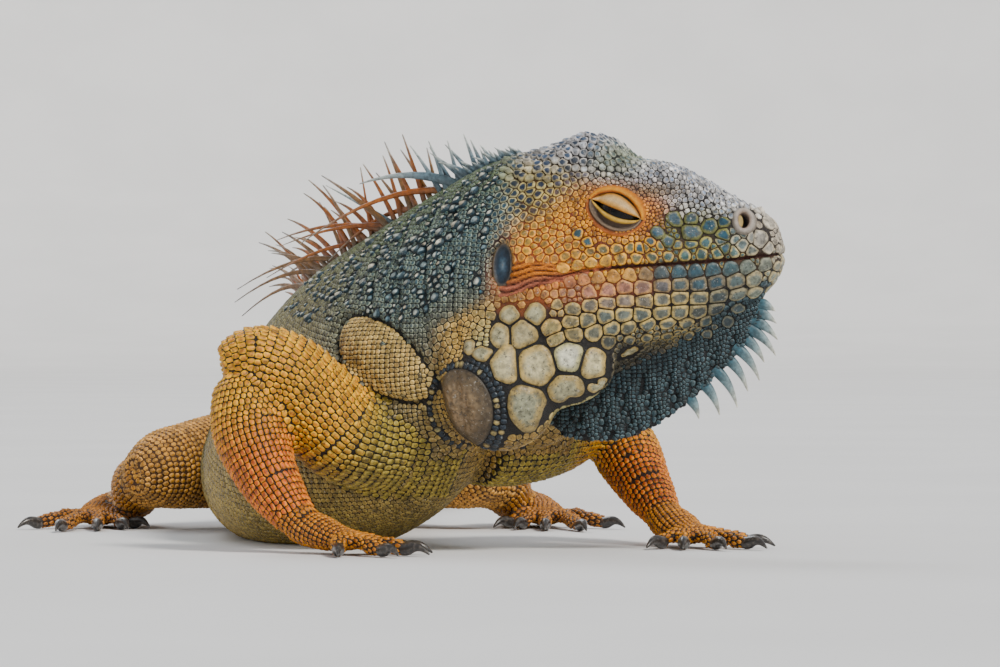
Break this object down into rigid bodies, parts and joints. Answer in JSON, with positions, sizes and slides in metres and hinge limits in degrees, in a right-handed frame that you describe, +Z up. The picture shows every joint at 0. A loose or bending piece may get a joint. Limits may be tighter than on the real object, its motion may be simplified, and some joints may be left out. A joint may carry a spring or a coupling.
{
  "type": "iguana",
  "caption": "Still, life-size adult green iguana lying on its belly with raised head, jowls, dewlap, spiny crest, clawed feet and a long tail.",
  "frame": {"origin": "middle of the animal's footprint box, on the floor it lies on", "axes": "+Z up; the snout points to +X and a little to -Y, and the tail runs towards +Y"},
  "size_m": [0.3134, 1.185, 0.1614],
  "materials": {
    "grey_blue_head_skin": "horny head plates in pale grey and blue-grey, satin",
    "cream_green_jowl_skin": "cream and green jowl plates with dark seams, satin",
    "slate_dewlap_skin": "fine slate-blue scales, satin",
    "teal_neck_skin": "blue-grey skin with pale pointed tubercles",
    "olive_trunk_skin": "fine olive-brown scales, satin",
    "banded_tail_skin": "keeled scales in rings, dark and tan bands",
    "golden_limb_skin": "golden-orange keeled scales, satin",
    "dark_claw_horn": "dark horn, half gloss",
    "dark_wet_eye": "wet, dark brown",
    "blue_grey_eardrum": "smooth thin skin, faint sheen"
  },
  "bodies": {
    "root": {"abdomen": "olive_trunk_skin", "chest": "olive_trunk_skin", "dewlap": "slate_dewlap_skin", "head": "grey_blue_head_skin", "left_eardrum": "blue_grey_eardrum", "left_eye": "dark_wet_eye", "left_foot": "golden_limb_skin", "left_foot_claw_1": "dark_claw_horn", "left_foot_claw_2": "dark_claw_horn", "left_foot_claw_3": "dark_claw_horn", "left_foot_claw_4": "dark_claw_horn", "left_foot_claw_5": "dark_claw_horn", "left_forearm": "golden_limb_skin", "left_hand": "golden_limb_skin", "left_hand_claw_1": "dark_claw_horn", "left_hand_claw_2": "dark_claw_horn", "left_hand_claw_3": "dark_claw_horn", "left_hand_claw_4": "dark_claw_horn", "left_hand_claw_5": "dark_claw_horn", "left_shin": "golden_limb_skin", "left_thigh": "golden_limb_skin", "left_upper_arm": "golden_limb_skin", "lower_jaw": "cream_green_jowl_skin", "neck": "teal_neck_skin", "pelvis": "olive_trunk_skin", "right_eardrum": "blue_grey_eardrum", "right_eye": "dark_wet_eye", "right_foot": "golden_limb_skin", "right_foot_claw_1": "dark_claw_horn", "right_foot_claw_2": "dark_claw_horn", "right_foot_claw_3": "dark_claw_horn", "right_foot_claw_4": "dark_claw_horn", "right_foot_claw_5": "dark_claw_horn", "right_forearm": "golden_limb_skin", "right_hand": "golden_limb_skin", "right_hand_claw_1": "dark_claw_horn", "right_hand_claw_2": "dark_claw_horn", "right_hand_claw_3": "dark_claw_horn", "right_hand_claw_4": "dark_claw_horn", "right_hand_claw_5": "dark_claw_horn", "right_shin": "golden_limb_skin", "right_thigh": "golden_limb_skin", "right_upper_arm": "golden_limb_skin", "tail_base": "banded_tail_skin", "tail_front": "banded_tail_skin", "tail_middle": "banded_tail_skin", "tail_rear": "banded_tail_skin", "tail_whip": "banded_tail_skin"}
  },
  "joints": []
}
